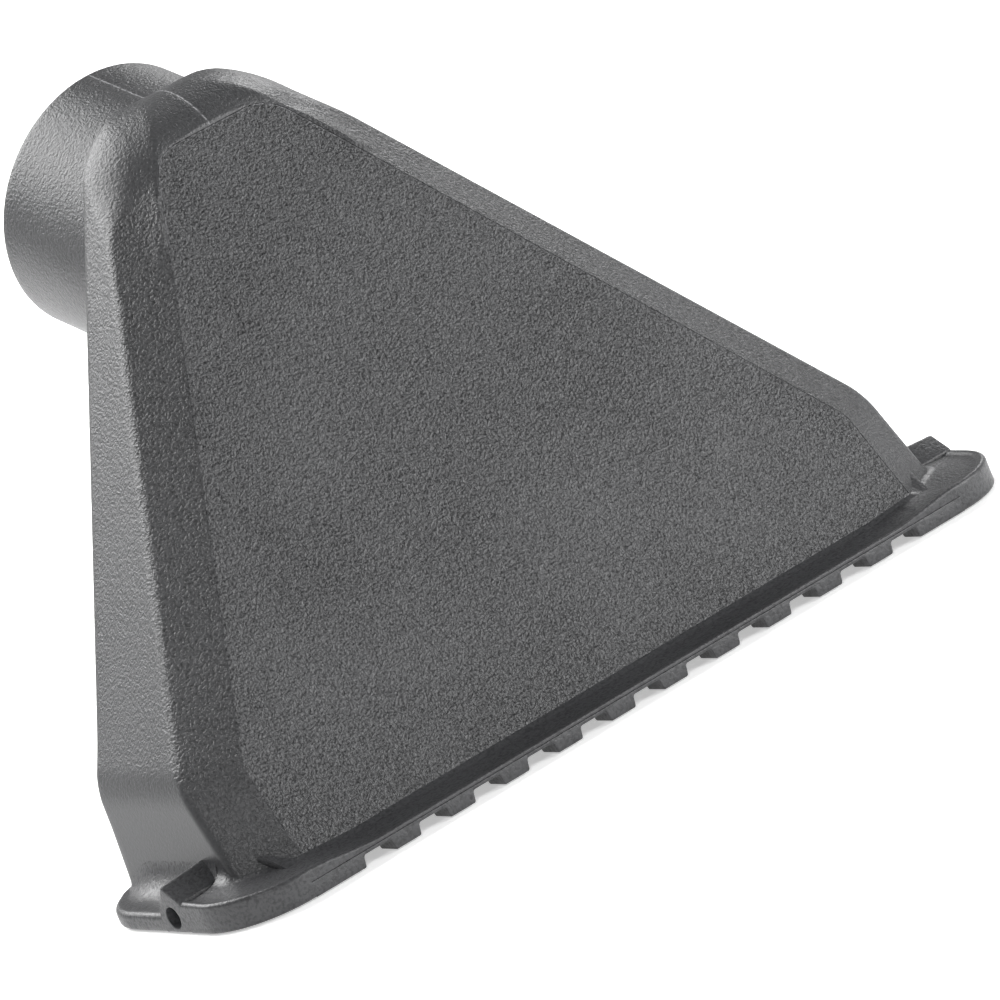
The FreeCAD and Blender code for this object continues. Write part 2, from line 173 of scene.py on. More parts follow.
def path_through(corners, radii, count):
    """Points spaced evenly along a line through corners, each bend turned into a parabola that
    starts and ends its radius away from the corner."""
    corners = np.asarray(corners, float)
    pieces = [corners[:1]]
    turn = np.linspace(0.0, 1.0, 24)[:, None]
    for before, corner, after, reach in zip(corners[:-2], corners[1:-1], corners[2:], radii):
        start = corner + (before - corner) / np.linalg.norm(before - corner) * reach
        end = corner + (after - corner) / np.linalg.norm(after - corner) * reach
        pieces.append((1 - turn) ** 2 * start + 2 * turn * (1 - turn) * corner + turn**2 * end)
    pieces.append(corners[-1:])
    line = np.concatenate(pieces)
    length = run_along(line)
    return read_off(np.linspace(0.0, length[-1], count), length, line)


def grid_faces(rows, columns, offset=0, closed=False):
    """Quads of a grid of points, row by row; closed joins the last column to the first."""
    across = columns if closed else columns - 1
    r, c = np.meshgrid(np.arange(rows - 1), np.arange(across), indexing="ij")
    a = offset + r * columns + c
    b = offset + r * columns + (c + 1) % columns
    return np.stack([a, b, b + columns, a + columns], -1).reshape(-1, 4)


def place_piece(name, points, faces, node, material, smooth):
    """Puts points in millimetres and faces into a mesh, merges its doubles, turns its faces
    outwards, gives it its material, ties the piece to the head and hides its node."""
    points = (points.reshape(-1, 3) + np.array([0.0, LIP_Y, 0.0])) * MM
    mesh = bpy.data.meshes.new(name)
    mesh.from_pydata(points.tolist(), [], faces.tolist())
    mesh.materials.append(material)
    piece = bpy.data.objects.new(name, mesh)
    bpy.context.collection.objects.link(piece)
    shape = bmesh.new()
    shape.from_mesh(mesh)
    bmesh.ops.remove_doubles(shape, verts=shape.verts, dist=2e-6)
    bmesh.ops.recalc_face_normals(shape, faces=shape.faces)
    shape.to_mesh(mesh)
    shape.free()
    mesh.shade_smooth()
    mesh.set_sharp_from_angle(angle=np.radians(smooth))
    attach(piece, "head")
    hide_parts(node)
    return piece


def points_of(piece):
    """The piece's points in millimetres from the front lip, one column for each direction."""
    flat = np.empty(len(piece.data.vertices) * 3, np.float32)
    piece.data.vertices.foreach_get("co", flat)
    return (flat.reshape(-1, 3).astype(float) / MM - np.array([0.0, LIP_Y, 0.0])).T


def store_layer(piece, name, values):
    """Keeps one number per point in the piece's mesh for its material to read."""
    layer = piece.data.attributes.new(name, "FLOAT", "POINT")
    layer.data.foreach_set("value", values.astype(np.float32))


class Wire:
    """A socket of a node tree. + - * and / with wires or numbers add Math nodes."""

    def __init__(self, finish, socket):
        self.finish = finish
        self.socket = socket

    def maths(self, operation, *others):
        return self.finish.add("ShaderNodeMath", {"operation": operation}, (self, *others))

    def __add__(self, other):
        return self.maths("ADD", other)

    def __sub__(self, other):
        return self.maths("SUBTRACT", other)

    def __mul__(self, other):
        return self.maths("MULTIPLY", other)

    def __truediv__(self, other):
        return self.maths("DIVIDE", other)

    def __rsub__(self, other):
        return self.finish.add("ShaderNodeMath", {"operation": "SUBTRACT"}, (other, self))

    def __rtruediv__(self, other):
        return self.finish.add("ShaderNodeMath", {"operation": "DIVIDE"}, (other, self))

    __radd__ = __add__
    __rmul__ = __mul__

    def clip(self):
        return self.finish.add("ShaderNodeClamp", {}, (self, 0.0, 1.0))


class Finish:
    """The node tree of a material or of the surround, while it is put together."""

    def __init__(self, owner, last_node="Principled BSDF"):
        owner.use_nodes = True
        self.owner = owner
        self.tree = owner.node_tree
        self.end = self.tree.nodes[last_node]

    def join(self, value, socket):
        if isinstance(value, Wire):
            self.tree.links.new(value.socket, socket)
        else:
            socket.default_value = value

    def add(self, kind, settings=None, values=(), out=0, **named):
        """Adds a node: its settings first, then the values or wires of its sockets, which come
        in order, as a dictionary of places, or by name. Stops set a ramp's places and greys."""
        node = self.tree.nodes.new(kind)
        for key, value in (settings or {}).items():
            if key == "stops":
                for element, (place, grey) in zip(node.color_ramp.elements, value):
                    element.position = place
                    element.color = (grey, grey, grey, 1.0)
            else:
                setattr(node, key, value)
        places = values if isinstance(values, dict) else dict(enumerate(values))
        for key, value in {**places, **named}.items():
            self.join(value, node.inputs[key])
        return Wire(self, node.outputs[out])

    def noise(self, place, scale, **more):
        """A noise of this scale on these coordinates."""
        return self.add("ShaderNodeTexNoise", Vector=place, Scale=scale, **more)

    def layer(self, name):
        """The numbers that a mesh keeps under this name."""
        return self.add("ShaderNodeAttribute", {"attribute_name": name}, out=2)

    def blend(self, amount, first, second):
        """Mixes two colours by an amount from 0 to 1."""
        return self.add("ShaderNodeMix", {"data_type": "RGBA"}, {0: amount, 6: first, 7: second}, out=2)

    def end_with(self, **named):
        """Joins values or wires to the last node's sockets by name."""
        for key, value in named.items():
            self.join(value, self.end.inputs[key.replace("_", " ")])


PALE_LINE_GREY = (0.30, 0.30, 0.31, 1.0)                # pale grey of the painted highlight along the panel's edge, and of the seam's flash line
FLASH_HALF_WIDTH = 0.0003
FLASH_FROM = 0.1425


def moulded_plastic(name, dark, light, relief, scale, rough, depth_layer=None, edge_highlight_layer=None, seam=False):
    """Charcoal plastic: a wandering leather grain made of the folds of two noises, with painted
    shade making its hollows darker than its tops, and faint large unevenness in tone and gloss.
    A depth layer scales the relief and the painted hollow shade by region; an edge layer adds a
    pale, broken line of painted highlight, and the seam adds a pale, broken line down the middle."""
    finish = Finish(bpy.data.materials.new(name))
    place = finish.add("ShaderNodeTexCoord", out=3)
    fold = finish.noise(place, scale, Detail=1.5, Roughness=0.5, Distortion=0.5)
    broad = finish.noise(place, scale * 0.55, Detail=1.0)
    fine = finish.noise(place, scale * 2.6, Detail=1.0)
    cloud = finish.noise(place, 24.0, Detail=3.0)
    height = fold + broad * 0.4 + fine * 0.12
    # Painted shade: this mask of the grain's hollows darkens their colour below, and also roughens them.
    hollow = ((0.56 - fold) * 3.2).clip()
    if depth_layer:
        depth = finish.layer(depth_layer)
        height = height * depth
        hollow = hollow * depth
    # The tone is random unevenness in colour plus the painted shade in the grain's hollows.
    tone = (0.72 - hollow * 0.9 + (fine - 0.5) * 0.4 + (cloud - 0.5) * 0.7).clip()
    colour = finish.blend(tone, (*dark, 1.0), (*light, 1.0))
    if seam or edge_highlight_layer:
        patchy = ((finish.noise(place, 950.0, Detail=1.0) - 0.40) * 6.0).clip()
        if seam:
            x = finish.add("ShaderNodeSeparateXYZ", {}, (place,), out=0)
            z = finish.add("ShaderNodeSeparateXYZ", {}, (place,), out=2)
            near_middle = (1.0 - x.maths("ABSOLUTE") / FLASH_HALF_WIDTH).clip()
            line = near_middle * z.maths("GREATER_THAN", FLASH_FROM)
        else:
            line = finish.layer(edge_highlight_layer)
        # Painted highlight: a pale broken line along the edge layer; on the seam, a pale broken line along
        # the middle plane.
        colour = finish.blend(line * (patchy * 0.8 + 0.2), colour, PALE_LINE_GREY)
    bump = finish.add("ShaderNodeBump", Strength=1.0, Distance=relief, Height=height)
    gloss = (cloud - 0.5) * 0.16 + hollow * 0.12 + rough
    finish.end_with(Base_Color=colour, Roughness=gloss, Normal=bump)
    return finish.owner


CROWN_FRONT = [(25.0, 85.5, 148.0), (0.0, 89.0, 155.0)]     # where the side's lines cross the top
CROWN_BACK = [(28.0, 94.0, 147.5), (0.0, 97.0, 155.0)]
COLUMNS = 190
CHAMFER_ROWS = 16
SIDE_ROWS = 40
BACK_ROWS = 34
BOTTOM_COLUMNS = 41
EVENING_ROUNDS = 60
EVENING_SHARE = 0.6


def border_line():
    """The panel's border on the leaning face, from the frame up to the middle of the shoulder."""
    corners = [BORDER_FOOT, BORDER_KINK, BORDER_SHOULDER, (0.0, BORDER_SHOULDER[1])]
    plan = path_through(corners, BORDER_ROUNDS, COLUMNS)
    return np.stack([plan[:, 0], face_y(plan[:, 1]), plan[:, 1]], -1)


def front_rows():
    """Rows from the panel's border straight across the chamfer to the side's front line, then
    across the side to its back line. Both lines follow the border's own running length."""
    border = border_line()
    length = run_along(border)
    at = length / length[-1]
    at_kink = at[np.argmin(np.abs(border[:, 2] - KINK))]
    at_shoulder = at[np.argmin(np.abs(border[:, 0] - 13.5))]
    knots = [0.0, at_kink, at_shoulder, 1.0]
    side_front = [(SIDE_FOOT, 17.6, FRAME_TOP), (SIDE_KINK, 29.4, KINK)] + CROWN_FRONT
    side_back = [(SIDE_FOOT, BACK_Y, FRAME_TOP), (SIDE_KINK, BACK_Y, KINK)] + CROWN_BACK
    lines = []
    for corners in (side_front, side_back):
        line = read_off(at, knots, corners)
        line[4:-4] = np.lib.stride_tricks.sliding_window_view(line, 9, axis=0).mean(-1)
        lines.append(line)
    near, far = lines
    over_chamfer = border + (near - border) * np.linspace(0.0, 1.0, CHAMFER_ROWS)[:, None, None]
    over_side = near + (far - near) * smooth_step(np.linspace(0.0, 1.0, SIDE_ROWS))[1:, None, None]
    return np.concatenate([over_chamfer, over_side])


def back_rows(edge):
    """Rows from the back's edge in over the flat back to the oval where the spigot leaves it,
    then straight out along the spigot to its rim. The oval is the tilted round spigot cut by the
    leaning back: as wide as the spigot, and its half height is the radius stretched by both leans."""
    forward = (BACK_Y + (RIM_CENTRE[2] - KINK) * np.tan(BACK_LEAN) - RIM_CENTRE[1]) / (
        np.tan(SPIGOT_TILT) * np.tan(BACK_LEAN) - 1.0
    )
    root_z = RIM_CENTRE[2] - forward * np.tan(SPIGOT_TILT)
    tall = SPIGOT_R / np.cos(SPIGOT_TILT + BACK_LEAN) * np.cos(BACK_LEAN)
    turn = np.arctan2(edge[:, 2] - root_z, edge[:, 0])
    turn[0] = -np.pi / 2
    turn[-1] = np.pi / 2
    reach = 1.0 / np.hypot(np.cos(turn) / SPIGOT_R, np.sin(turn) / tall)
    root_x = np.abs(reach * np.cos(turn))
    root_x[[0, -1]] = 0.0
    oval_z = root_z + reach * np.sin(turn)
    root = np.stack([root_x, back_y(oval_z), oval_z], -1)
    inward = (np.linspace(0.0, 1.0, BACK_ROWS)[1:] ** 1.25)[:, None, None]
    flat = edge + (root - edge) * inward
    flat[..., 1] = np.where(inward[..., 0] > 0.15, back_y(flat[..., 2]), flat[..., 1])
    run = -((root - RIM_CENTRE) @ SPIGOT_AXIS)
    out = (np.linspace(0.0, 1.0, BACK_ROWS)[1:] ** 1.3)[:, None, None]
    tube = root + SPIGOT_AXIS * run[:, None] * out
    return np.concatenate([edge[None], flat, tube])


def casing_skin():
    """The right half's outer skin, front and back. The rows are settled on the body, and the
    back's are evened out by moving each point part of the way to its neighbours' middle."""
    front = front_rows()
    bottom_x = np.linspace(0.0, SIDE_FOOT, BOTTOM_COLUMNS + 1)[:-1]
    bottom = np.stack([bottom_x, np.full(BOTTOM_COLUMNS, BACK_Y), np.full(BOTTOM_COLUMNS, FRAME_TOP)], -1)
    back = back_rows(np.concatenate([bottom, front[-1]]))
    front[1:] = settle(front[1:])
    rim_row = back[-1]
    back = settle(back)
    mirrored = np.array([-1.0, 1.0, 1.0])
    for _ in range(EVENING_ROUNDS):
        wide = np.concatenate([back[:, 1:2] * mirrored, back, back[:, -2:-1] * mirrored], axis=1)
        around = (wide[:-2, 1:-1] + wide[2:, 1:-1] + wide[1:-1, :-2] + wide[1:-1, 2:]) / 4
        back[1:-1] += EVENING_SHARE * (around - back[1:-1])
        back[1:-1] = settle(back[1:-1], rounds=1)
    back[1:-1, [0, -1], 0] = 0.0
    back[-1] = rim_row
    back[0, -COLUMNS:] = front[-1]
    front[:, -1, 0] = 0.0
    back[:, [0, -1], 0] = 0.0
    return front, back


def grain_by_region(piece):
    """Stores how deep the grain is at each point: full on the upper chamfers, fainter on the
    shoulder, sides and spigot, and nearly gone on the upright foot of the sides."""
    _, y, z = points_of(piece)
    from_face = (y - face_y(z)) * np.cos(LEAN)
    chamfer = smooth_step((7.6 - from_face) / 1.4) * smooth_step((141.0 - z) / 8.0)
    foot = smooth_step((34.0 - z) / 14.0)
    side = 0.42 - 0.30 * foot
    store_layer(piece, "grain", side + (1.0 - 0.45 * foot - side) * chamfer)


front_skin, back_skin = casing_skin()
skin_points = np.concatenate([front_skin.reshape(-1, 3), back_skin.reshape(-1, 3)])
skin_faces = np.concatenate(
    [grid_faces(*front_skin.shape[:2]), grid_faces(*back_skin.shape[:2], offset=front_skin[..., 0].size)]
)
shell_plastic = moulded_plastic(
    "casing_grained_plastic", (0.016, 0.016, 0.017), (0.070, 0.071, 0.074), 0.00050, 1500.0, 0.38,
    depth_layer="grain", seam=True,
)


def casing_half(name, side, node):
    """One casing half, thickened inwards and with its open edges softened."""
    points = skin_points * np.array([side, 1.0, 1.0])
    piece = place_piece(name, points, skin_faces, node, shell_plastic, smooth=60.0)
    if piece.data.polygons[0].normal.dot((side, -1.0, 0.2)) < 0:
        piece.data.flip_normals()
    grain_by_region(piece)
    wall = piece.modifiers.new("wall", "SOLIDIFY")
    wall.thickness = WALL * MM
    wall.offset = -1.0
    edge = piece.modifiers.new("edge", "BEVEL")
    edge.width = EDGE_ROUND * MM
    edge.segments = 2
    edge.limit_method = "ANGLE"
    edge.angle_limit = np.radians(50.0)


casing_half("casing_left_skin", -1.0, "casing_left")
casing_half("casing_right_skin", 1.0, "casing_right")

# ---- front panel ----------------------------------------------------------------------
# A flat moulded panel of leather-grained plastic, let into the front of the casing. Its edge
# is slightly rolled, so a hairline shows all round it, with a pale broken painted highlight along it,
# strongest near the top.
PANEL_GAP = 0.04
PANEL_THICK = 1.8
PANEL_FOOT = 6.1
PANEL_FOOT_HALF = 90.92
PANEL_ROUNDS = (2.4, *BORDER_ROUNDS)
PANEL_MIDDLE = np.array([0.0, 52.0])
PANEL_ROLL = [(0.30, PANEL_THICK), (0.03, 1.6), (0.0, 1.4), (0.0, 0.28), (0.03, 0.16), (0.12, 0.07),
              (0.25, 0.02), (0.45, 0.0), (0.9, 0.0)]        # (in from the edge, down from the face)


def panel_points():
    """The panel's outline carried from the middle of its back, out and round its rolled edge,
    and in over the face to the middle, as rings that sink a depth square to the face."""
    corners = [(0.0, PANEL_FOOT), (PANEL_FOOT_HALF, PANEL_FOOT), BORDER_KINK, BORDER_SHOULDER,
               (0.0, BORDER_SHOULDER[1])]
    side = path_through(corners, PANEL_ROUNDS, 260)
    outline = np.concatenate([side, (side * np.array([-1.0, 1.0]))[-2:0:-1]])
    ahead = np.roll(outline, -1, 0) - np.roll(outline, 1, 0)
    out = np.stack([ahead[:, 1], -ahead[:, 0]], -1) / np.linalg.norm(ahead, axis=1)[:, None]
    edge = [(outline - out * (inset + PANEL_GAP), depth) for inset, depth in PANEL_ROLL]
    first, last = edge[0][0], edge[-1][0]
    back = [(first + (PANEL_MIDDLE - first) * share, PANEL_THICK) for share in (1.0, 0.6)]
    face = [(last + (PANEL_MIDDLE - last) * share, 0.0) for share in (0.1, 0.3, 0.6, 0.9, 1.0)]
    rings = back + edge + face
    flat = np.stack([ring for ring, _ in rings])
    depth = np.array([sunk for _, sunk in rings])[:, None, None]
    return np.stack([flat[..., 0], face_y(flat[..., 1]), flat[..., 1]], -1) - depth * FACE_OUT


panel_plastic = moulded_plastic(
    "panel_leather_plastic", (0.006, 0.006, 0.007), (0.090, 0.091, 0.094), 0.00042, 1700.0, 0.38,
    edge_highlight_layer="edge",
)
panel = panel_points()
panel_faces = grid_faces(*panel.shape[:2], closed=True)
front_panel = place_piece(
    "front_panel", panel, panel_faces, "front_cover", panel_plastic, smooth=35.0
)
_, panel_y, panel_z = points_of(front_panel)
# The edge layer is the mask of the painted highlight: the rolled edge below the face, full from 136 mm up and
# fading to about a fifth below 118 mm.
sunk = np.clip((panel_y - face_y(panel_z)) * np.cos(LEAN) / 0.05, 0.0, 1.0)
store_layer(front_panel, "edge", sunk * (0.22 + 0.78 * smooth_step((panel_z - 118.0) / 18.0)))

# ---- mouth frame ----------------------------------------------------------------------
# One ring moulded in satin plastic closes the hood's foot and is screwed to it. It has a rim
# and gutter in front, a fillet up to the casing, and a wedge-shaped rib over each pin's bore.
HALF = 115.5
DEPTH = 67.5
CORNER = 18.0
LIP_HALF = 96.5
LIP_TOP = 3.6
OPENING_HALF = 95.0
OPENING_FRONT, OPENING_BACK = 6.5, 61.0
RIB_FRONT, RIB_BACK = 24.4, 34.7
FRONT_FOOT = [(86.0, 7.6), (91.0, 10.0), (103.8, 19.0), (104.0, RIB_FRONT)]
REAR_FOOT = [(104.0, 49.0), (104.0, 63.5), (101.0, BACK_Y), (95.0, BACK_Y)]


def frame_plan():
    """Points and inward directions round the frame's plan, closer together where it bends or
    steps. Round the corners the directions aim along the foot of the hood's own corner."""
    bend = np.linspace(0.0, np.pi / 2, 41)
    cos, sin = np.cos(bend), np.sin(bend)
    front_x = np.concatenate([np.linspace(0.0, LIP_HALF - 0.01, 110), np.linspace(LIP_HALF, 97.4, 3)])
    end_y = np.concatenate(
        [np.linspace(18.2, RIB_FRONT, 22), np.linspace(RIB_FRONT + 0.01, RIB_BACK, 16),
         np.linspace(RIB_BACK + 0.01, 49.4, 18)]
    )
    rear_x = np.linspace(97.2, 0.0, 70)
    middle = HALF - CORNER
    half = np.concatenate([
        np.stack([front_x, np.zeros_like(front_x)], -1),
        np.stack([middle + CORNER * sin, CORNER - CORNER * cos], -1),
        np.stack([np.full_like(end_y, HALF), end_y], -1),
        np.stack([middle + CORNER * cos, DEPTH - CORNER + CORNER * sin], -1),
        np.stack([rear_x, np.full_like(rear_x, DEPTH)], -1),
    ])
    inward = np.concatenate([
        np.tile([0.0, 1.0], (len(front_x), 1)),
        np.stack([-sin, cos], -1),
        np.tile([-1.0, 0.0], (len(end_y), 1)),
        np.stack([-cos, -sin], -1),
        np.tile([0.0, -1.0], (len(rear_x), 1)),
    ])
    near_front = (half[:, 0] >= FRONT_FOOT[0][0]) & (half[:, 1] <= RIB_FRONT + 1e-6)
    near_rear = (half[:, 0] >= REAR_FOOT[-1][0]) & (half[:, 1] >= REAR_FOOT[0][1])
    for corner, foot_line in ((near_front, FRONT_FOOT), (near_rear, REAR_FOOT)):
        run = run_along(half[corner])
        foot_run = run_along(np.array(foot_line))
        aim = read_off(run / run[-1] * foot_run[-1], foot_run, foot_line) - half[corner]
        inward[corner] = aim / np.linalg.norm(aim, axis=1)[:, None]
    flip = np.array([-1.0, 1.0])
    return np.concatenate([half, (half * flip)[-2:0:-1]]), np.concatenate([inward, (inward * flip)[-2:0:-1]])


plan, plan_in = frame_plan()


def reach_hood(z):
    """Distance from the frame's outer wall inwards to the hood at height z, by halving a span."""
    low = np.zeros(len(plan))
    high = np.full(len(plan), 24.0)
    level = np.broadcast_to(z, len(plan))[:, None]
    for _ in range(40):
        middle = (low + high) / 2
        spot = plan + plan_in * middle[:, None]
        outside = hood_gap(np.concatenate([spot, level], -1)) > 0
        low = np.where(outside, middle, low)
        high = np.where(outside, high, middle)
    return (low + high) / 2


def ring_points():
    """The ring's section at every point of its plan: bottom, outer wall, round rim, the shallow
    gutter behind it, and a hollow sweep whose radius grows at the ends, up into the casing."""
    x, y = np.abs(plan[:, 0]), plan[:, 1]
    at_lip = (x < LIP_HALF - 0.005) & (y < 1.0)
    behind = y > RIB_FRONT + 0.005
    ends = smooth_step((x - 80.0) / 20.0)
    foot = np.where(at_lip, LIP_TOP + 0.05, 0.0)
    rim_front = 4.55 + 2.0 * smooth_step((x - 76.0) / 22.0)
    rim_end = np.interp(y, [0.0, 6.0, 16.0, RIB_FRONT], [6.55, 6.9, 7.1, 7.4])
    rim = np.where(behind, FRAME_TOP, np.where(x < HALF - CORNER, rim_front, rim_end))
    wide = reach_hood(7.0)
    foot_x = np.abs((plan + plan_in * wide[:, None])[:, 0])
    edge = np.minimum(np.where(behind, 1.5, 0.5 + 0.5 * ends), 0.3 * wide)
    under = np.where(at_lip, 0.1, np.where(behind, 1.3, 0.9))
    dip = np.where(behind, 0.0, 0.12 + 0.55 * ends)
    rise = np.where(behind, 0.0, 1.3 - 0.9 * ends)
    sweep = np.where(behind, 8.0, 1.0 + 2.8 * smooth_step((foot_x - 91.5) / 8.0))
    sweep = np.minimum(sweep, 0.7 * wide)
    rows = []

    def row(depth, z):
        spot = plan + plan_in * np.broadcast_to(depth, len(plan))[:, None]
        rows.append(np.concatenate([spot, np.broadcast_to(z, len(plan))[:, None]], -1))

    hole_x = np.clip(plan[:, 0], -OPENING_HALF, OPENING_HALF)
    hole_y = np.clip(plan[:, 1], OPENING_FRONT, OPENING_BACK)
    for z in (FRAME_TOP, foot + 0.3):
        rows.append(np.stack([hole_x, hole_y, np.broadcast_to(z, len(plan))], -1))
    rows.append(np.stack([hole_x + 0.3 * np.sign(hole_x), hole_y + 0.3 * np.sign(hole_y - 34.0), foot], -1))
    for angle in np.linspace(0.0, np.pi / 2, 6):
        row(under * (1 - np.sin(angle)), foot + under * (1 - np.cos(angle)))
    for share in (0.33, 0.66):
        row(0.0, foot + under + (rim - edge - foot - under) * share)
    for angle in np.linspace(0.0, np.pi / 2, 8):
        row(edge * (1 - np.cos(angle)), rim - edge * (1 - np.sin(angle)))
    gutter_run = np.minimum(1.7, 0.25 * wide)
    for share in (0.2, 0.4, 0.6, 0.8, 1.0):
        row(edge + gutter_run * share, rim - dip * smooth_step(share))
    start = edge + gutter_run
    level = rim - dip
    at_top = reach_hood(level + rise + sweep)
    begin = np.maximum(at_top - sweep, start + 0.02)
    for share in (0.25, 0.5, 0.75, 1.0):
        row(start + (begin - start) * share, level + rise * share**2)
    for angle in np.linspace(0.0, np.pi / 2, 15)[1:]:
        z = level + rise + sweep * (1 - np.cos(angle))
        row(np.minimum(begin + (at_top - begin) * np.sin(angle), reach_hood(z) + 0.02), z)
    row(at_top + 0.5, level + rise + sweep + 0.1)
    points = np.stack(rows)
    pocket = behind & (y < RIB_BACK + 0.005) & (x > 100.0)
    inner = np.sign(points[..., 0]) * np.minimum(np.abs(points[..., 0]), 106.0)
    points[..., 0] = np.where(pocket, inner, points[..., 0])
    return np.concatenate([points, points[:1]])


BORE = np.array([29.5, 3.8])                    # (y, z) of the pin's axis
BORE_R = 2.6
BORE_DEEP = 6.0
RIB_PEAK = (30.1, 12.4)
RIB_SHOULDER = 7.5
RIB_INSIDE = 99.0
RIB_ROUNDS = (0.4, 0.9, 0.4)
RIB_ROLL = 0.7
UNDER_ROUND = 0.9


def rib_points(side):
    """A rib with a wedge section over the end bore: its outline carried from inside the hood to
    the end wall, rolled at the edges, then drawn in to the round bore and back along it."""
    corners = [(RIB_FRONT, 0.0), (RIB_FRONT, RIB_SHOULDER), RIB_PEAK, (RIB_BACK, FRAME_TOP), (RIB_BACK, 0.0)]
    line = path_through(corners, RIB_ROUNDS, 120)
    base = np.stack([np.linspace(RIB_BACK, RIB_FRONT, 14)[1:-1], np.zeros(12)], -1)
    outline = np.concatenate([line, base])
    ahead = np.roll(outline, -1, 0) - np.roll(outline, 1, 0)
    out = np.stack([-ahead[:, 1], ahead[:, 0]], -1)
    out = out / np.maximum(np.linalg.norm(out, axis=1), 1e-9)[:, None]
    roll = out * RIB_ROLL * smooth_step((outline[:, 1] - 6.6) / 1.2)[:, None]
    away = outline - BORE
    turn = away / np.linalg.norm(away, axis=1)[:, None]
    hole = BORE + turn * BORE_R
    pole = np.broadcast_to(BORE, outline.shape)
    flat = outline - roll
    rows = [(pole, RIB_INSIDE)]
    rows += [(outline, x) for x in (RIB_INSIDE, 104.0, 109.0, HALF - 0.6)]
    rows += [(outline - roll * 0.12, HALF - 0.165), (outline - roll * 0.45, HALF - 0.05), (flat, HALF)]
    rows += [(flat + (hole - flat) * share, HALF) for share in (0.3, 0.6, 0.85)]
    rows += [(BORE + turn * (BORE_R + 0.18), HALF), (BORE + turn * (BORE_R + 0.04), HALF - 0.06)]
    rows += [(hole, HALF - 0.2), (hole, HALF - BORE_DEEP), (pole, HALF - BORE_DEEP)]
    points = np.stack([np.stack([np.full(len(p), x * side), p[:, 0], p[:, 1]], -1) for p, x in rows])
    under = np.clip(1.0 - points[..., 2] / UNDER_ROUND, 0.0, 1.0)
    outer = HALF - UNDER_ROUND * (1.0 - np.sqrt(1.0 - under**2))
    points[..., 0] = side * np.minimum(np.abs(points[..., 0]), outer)
    high = np.clip((points[..., 2] - RIB_SHOULDER) / (RIB_PEAK[1] - RIB_SHOULDER), 0.0, 1.0)
    points[..., 2] -= 1.1 * high * np.clip((np.abs(points[..., 0]) - 101.0) / 14.5, 0.0, 1.0)
    return points


frame_plastic = moulded_plastic(
    "frame_satin_plastic", (0.026, 0.026, 0.028), (0.062, 0.063, 0.066), 0.00012, 1300.0, 0.38
)
parts = [ring_points(), rib_points(1.0), rib_points(-1.0)]
offsets = np.cumsum([0] + [p[..., 0].size for p in parts])
frame_faces = np.concatenate(
    [grid_faces(*p.shape[:2], offset=start, closed=True) for p, start in zip(parts, offsets)]
)
frame_xyz = np.concatenate([p.reshape(-1, 3) for p in parts])
place_piece("mouth_ring", frame_xyz, frame_faces, "mouth_frame", frame_plastic, smooth=40.0)

# ---- toothed lip ----------------------------------------------------------------------
# The strip under the gutter that rides on the floor, in the frame's satin plastic. Eleven
# notches cut through it let air in, and it is moulded smooth with slightly rounded corners.
NOTCHES = 11
NOTCH_PITCH = 15.66
NOTCH_WIDE = 8.2
NOTCH_TALL = 2.7
LIP_DEEP = 6.5
LIP_BACK = LIP_DEEP - 0.05
NOTCH_ROOF = 0.55
LIP_UNDERSIDE = [(LIP_BACK, 0.2), (LIP_DEEP - 0.25, 0.0), (0.5, 0.0), (0.3, 0.02), (0.12, 0.12), (0.02, 0.3),
                 (0.0, 0.5)]                    # (depth, up from the bottom line)
LIP_UPPER = [(0.0, LIP_TOP - 0.24), (0.05, LIP_TOP - 0.09), (0.2, LIP_TOP - 0.02), (LIP_BACK, LIP_TOP - 0.02)]


def lip_points():
    """The strip's bottom line, up and down through the notches, carried round its section; both
    ends are drawn to a point in their middle."""
    half = NOTCH_WIDE / 2
    foot, roof = half + 0.2, half - 0.25
    notch = np.array([(-foot, 0.0), (-roof, NOTCH_TALL), (roof, NOTCH_TALL), (foot, 0.0)])
    middles = (np.arange(NOTCHES) - (NOTCHES - 1) / 2) * NOTCH_PITCH
    bends = [notch + np.array([middle, 0.0]) for middle in middles]
    line = np.concatenate([[(-LIP_HALF, 0.0)]] + bends + [[(LIP_HALF, 0.0)]])
    x, z = path_through(line, np.tile([0.35, 0.9, 0.9, 0.35], NOTCHES), 1500).T
    rows = [np.stack([x, np.full_like(x, y), z + lift], -1) for y, lift in LIP_UNDERSIDE]
    for y, level in LIP_UPPER:
        rows.append(np.stack([x, np.full_like(x, y), np.maximum(level, z + NOTCH_ROOF)], -1))
    points = np.stack(rows)
    closed = np.concatenate([points, points[:1]])
    left, right = (np.broadcast_to(points[:, c].mean(0), (len(closed), 1, 3)) for c in (0, -1))
    return np.concatenate([left, closed, right], axis=1)


lip = lip_points()
lip_faces = grid_faces(*lip.shape[:2])
place_piece("toothed_strip", lip, lip_faces, "toothed_lip", frame_plastic, smooth=40.0)

# ---- hose sleeve ----------------------------------------------------------------------
# A smooth liner pushed into the spigot, in satin plastic. It has a rounded mouth and ends in a
# low stop ring that the hose end rests against.
SLEEVE_OUT, SLEEVE_IN, SLEEVE_STOP = 29.7, 28.25, 26.05
SLEEVE_LONG, STOP_AT = 40.0, 37.5
SLEEVE_SECTION = np.array([
    (SLEEVE_LONG - 0.2, SLEEVE_OUT), (0.5, SLEEVE_OUT), (0.12, SLEEVE_OUT - 0.15), (0.0, SLEEVE_OUT - 0.5),
    (0.0, SLEEVE_IN + 0.5), (0.15, SLEEVE_IN + 0.14), (0.55, SLEEVE_IN), (SLEEVE_LONG / 2, SLEEVE_IN),
    (STOP_AT - 0.2, SLEEVE_IN), (STOP_AT, SLEEVE_IN - 0.2), (STOP_AT, SLEEVE_STOP + 0.3),
    (STOP_AT + 0.2, SLEEVE_STOP), (SLEEVE_LONG - 0.2, SLEEVE_STOP), (SLEEVE_LONG, SLEEVE_STOP + 0.3),
    (SLEEVE_LONG, SLEEVE_OUT - 0.2), (SLEEVE_LONG - 0.2, SLEEVE_OUT),
])                                              # (distance in from the rim, radius)


